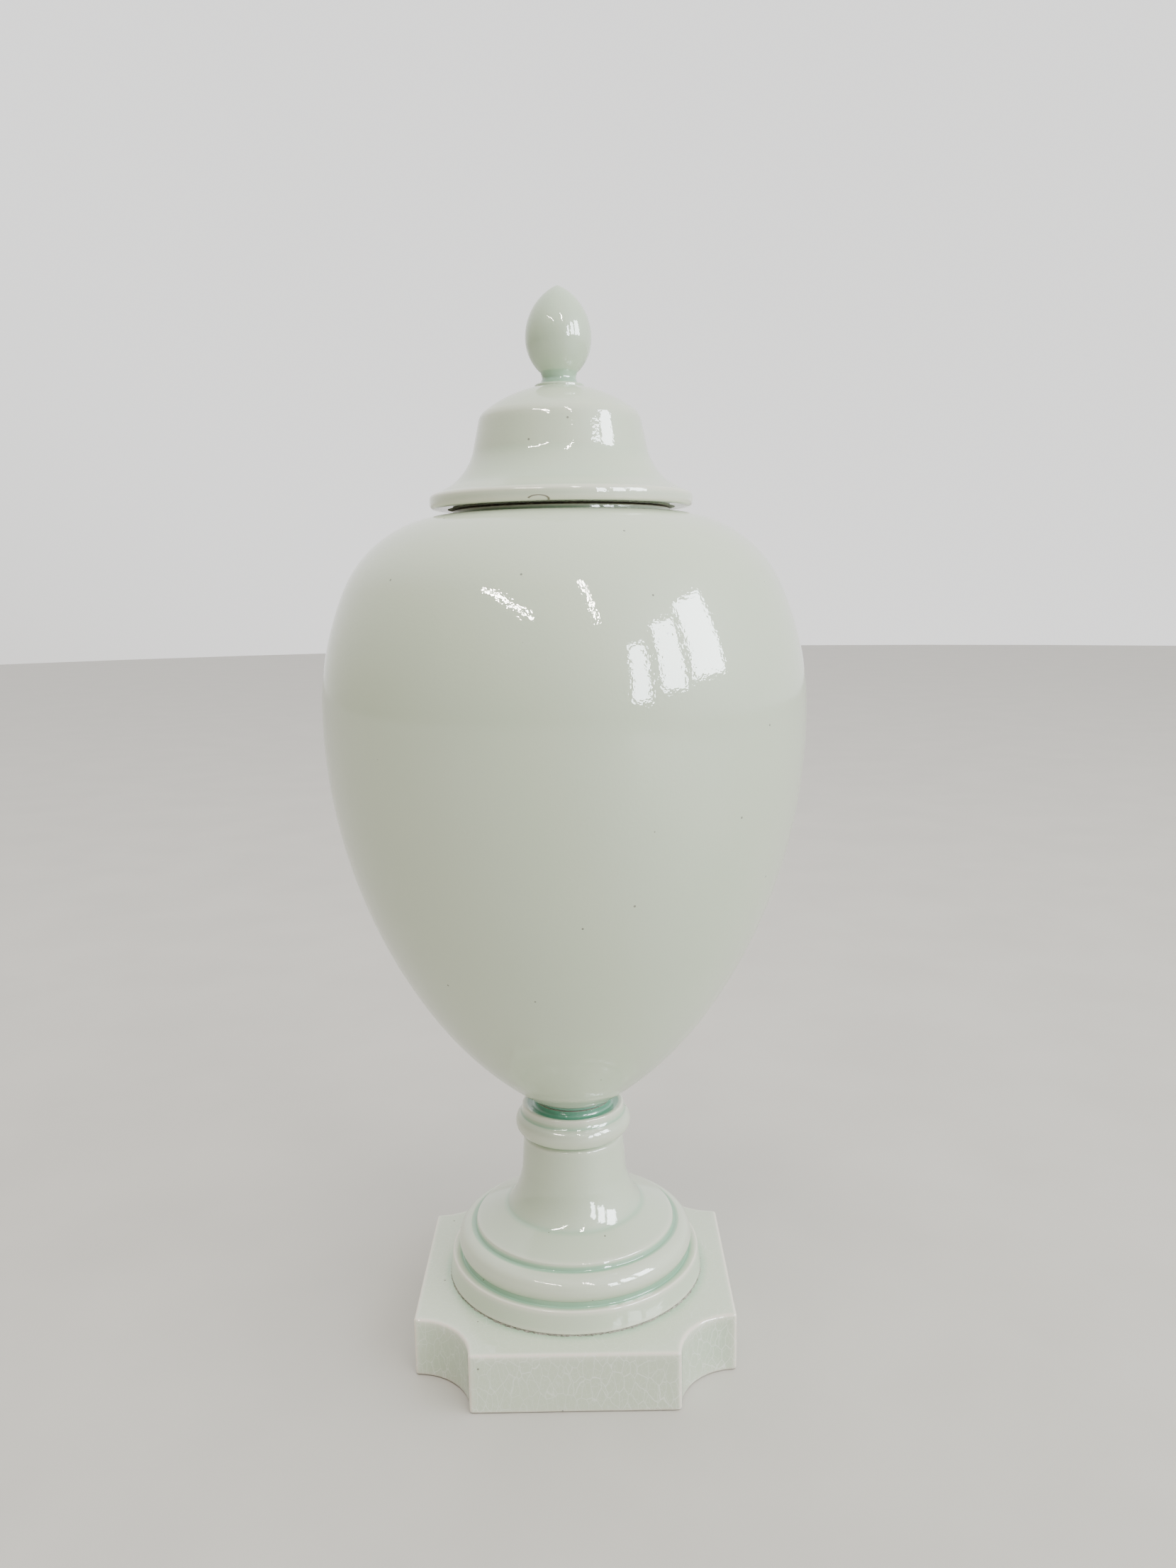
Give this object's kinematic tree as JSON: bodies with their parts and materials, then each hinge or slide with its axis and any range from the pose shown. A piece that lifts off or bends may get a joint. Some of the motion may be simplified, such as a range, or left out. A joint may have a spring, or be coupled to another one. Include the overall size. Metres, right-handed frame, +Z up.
{
  "type": "lidded pedestal urn",
  "caption": "Egg-shaped porcelain urn on a turned pedestal and square plinth with scooped corners, with a bell-shaped lift-off lid and a pointed bud finial.",
  "frame": {"origin": "centre of the plinth's underside, on the surface the urn stands on", "axes": "+Z up along the turning axis to the finial's point; X and Y square to the plinth's sides"},
  "size_m": [0.1354, 0.1354, 0.3023],
  "materials": {
    "celadon_glaze": "glossy pale grey-green celadon glaze, darker where it pools in the grooves and whitish on the edges",
    "crackled_glaze": "the same celadon glaze with a fine pale crackle",
    "mortar": "matt grey bedding",
    "black_rubber": "matt black rubber",
    "zinc_steel": "zinc-plated steel"
  },
  "bodies": {
    "vessel": {"plinth": "crackled_glaze", "foot_bed": "mortar", "pedestal": "celadon_glaze", "neck_gasket": "black_rubber", "urn": "celadon_glaze", "tie_bolt": "zinc_steel", "tie_nut": "zinc_steel", "washers": "zinc_steel", "bolt_pads": "black_rubber"},
    "cover": {"lid": "celadon_glaze", "finial": "celadon_glaze"}
  },
  "joints": [
    {"name": "lid_lift", "type": "slide", "parent": "vessel", "child": "cover", "axis": [0, 0, 1], "range_m": [0, 0.06]}
  ]
}
